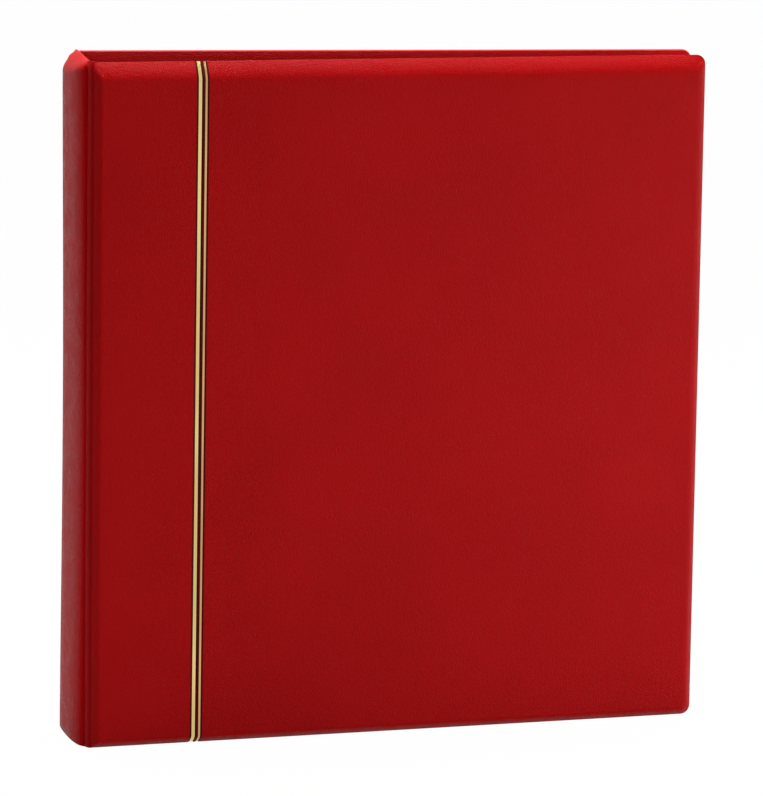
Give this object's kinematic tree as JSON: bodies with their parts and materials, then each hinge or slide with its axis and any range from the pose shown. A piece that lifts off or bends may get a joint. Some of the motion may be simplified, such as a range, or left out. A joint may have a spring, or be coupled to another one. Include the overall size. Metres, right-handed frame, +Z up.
{
  "type": "stamp album",
  "caption": "Ring-binder stamp album with padded leatherette covers and spine, two gold lines, a ring mechanism with levers, and turning stock leaves.",
  "frame": {"origin": "middle of the bottom of the closed, standing album, on the surface it stands on", "axes": "+Z up along the height, -Y the side of the front cover, -X the side of the spine"},
  "size_m": [0.305, 0.0648, 0.32],
  "materials": {
    "red_leatherette": "satin",
    "red_lining": "matte",
    "joint_leatherette": "satin",
    "foam": "matte",
    "greyboard": "matte",
    "gold_foil": "satin",
    "copper_foil": "satin",
    "zinc_steel": "satin",
    "spring_steel": "satin",
    "chromed_wire": "polished",
    "lever_steel": "satin",
    "ivory_paper": "matte",
    "linen": "matte",
    "black_card": "matte",
    "clear_film": "gloss"
  },
  "bodies": {
    "spine": {"spine_board": "greyboard", "spine_foam": "foam", "spine_skin": "red_leatherette", "spine_lining": "red_lining", "front_joint": "joint_leatherette", "back_joint": "joint_leatherette", "ring_housing": "zinc_steel", "housing_rivets": "zinc_steel", "lever_pins": "zinc_steel", "leaf_1_margin": "ivory_paper", "leaf_1_linen": "linen", "leaf_2_margin": "ivory_paper", "leaf_2_linen": "linen", "leaf_3_margin": "ivory_paper", "leaf_3_linen": "linen", "leaf_4_margin": "ivory_paper", "leaf_4_linen": "linen"},
    "front_cover": {"front_board": "greyboard", "front_foam": "foam", "front_skin": "red_leatherette", "front_lining": "red_lining", "gold_line_wide": "gold_foil", "gold_line_narrow": "copper_foil"},
    "back_cover": {"back_board": "greyboard", "back_foam": "foam", "back_skin": "red_leatherette", "back_lining": "red_lining"},
    "front_rings": {"front_blade": "spring_steel", "front_ring_halves": "chromed_wire"},
    "back_rings": {"back_blade": "spring_steel", "back_ring_halves": "chromed_wire"},
    "top_lever": {"top_lever": "lever_steel"},
    "bottom_lever": {"bottom_lever": "lever_steel"},
    "leaf_1": {"leaf_1_card": "black_card", "leaf_1_strips": "clear_film"},
    "leaf_2": {"leaf_2_card": "black_card", "leaf_2_strips": "clear_film"},
    "leaf_3": {"leaf_3_card": "black_card", "leaf_3_strips": "clear_film"},
    "leaf_4": {"leaf_4_card": "black_card", "leaf_4_strips": "clear_film"}
  },
  "joints": [
    {"name": "front_cover_swing", "type": "hinge", "parent": "spine", "child": "front_cover", "pos_m": [-0.14783, -0.0302, 0.16], "axis": [0, 0, -1], "range_deg": [0, 110]},
    {"name": "back_cover_swing", "type": "hinge", "parent": "spine", "child": "back_cover", "pos_m": [-0.14783, 0.0302, 0.16], "axis": [0, 0, 1], "range_deg": [0, 110]},
    {"name": "lever_swing", "type": "hinge", "parent": "spine", "child": "top_lever", "pos_m": [-0.14363, 0, 0.303], "axis": [0, -1, 0], "range_deg": [0, 38]},
    {"name": "bottom_lever_swing", "type": "hinge", "parent": "spine", "child": "bottom_lever", "pos_m": [-0.14363, 0, 0.017], "axis": [0, 1, 0], "range_deg": [0, 38]},
    {"name": "front_rings_open", "type": "hinge", "parent": "spine", "child": "front_rings", "pos_m": [-0.14463, -0.0155, 0.16], "axis": [0, 0, -1], "range_deg": [0, 12]},
    {"name": "back_rings_open", "type": "hinge", "parent": "spine", "child": "back_rings", "pos_m": [-0.14463, 0.0155, 0.16], "axis": [0, 0, 1], "range_deg": [0, 12]},
    {"name": "leaf_1_turn", "type": "hinge", "parent": "spine", "child": "leaf_1", "pos_m": [-0.11303, -0.0023, 0.16], "axis": [0, 0, -1], "range_deg": [0, 82.5]},
    {"name": "leaf_2_turn", "type": "hinge", "parent": "spine", "child": "leaf_2", "pos_m": [-0.11303, -0.001, 0.16], "axis": [0, 0, -1], "range_deg": [0, 49.5]},
    {"name": "leaf_3_turn", "type": "hinge", "parent": "spine", "child": "leaf_3", "pos_m": [-0.11303, 0.001, 0.16], "axis": [0, 0, 1], "range_deg": [0, 49.5]},
    {"name": "leaf_4_turn", "type": "hinge", "parent": "spine", "child": "leaf_4", "pos_m": [-0.11303, 0.0023, 0.16], "axis": [0, 0, 1], "range_deg": [0, 82.5]}
  ],
  "couplings": [
    {"joint": "bottom_lever_swing", "follows": "front_rings_open", "ratio": 3.1666},
    {"joint": "lever_swing", "follows": "front_rings_open", "ratio": 3.1666},
    {"joint": "back_rings_open", "follows": "front_rings_open", "ratio": 1},
    {"joint": "leaf_1_turn", "follows": "front_cover_swing", "ratio": 0.75},
    {"joint": "leaf_2_turn", "follows": "front_cover_swing", "ratio": 0.45},
    {"joint": "leaf_3_turn", "follows": "back_cover_swing", "ratio": 0.45},
    {"joint": "leaf_4_turn", "follows": "back_cover_swing", "ratio": 0.75}
  ]
}
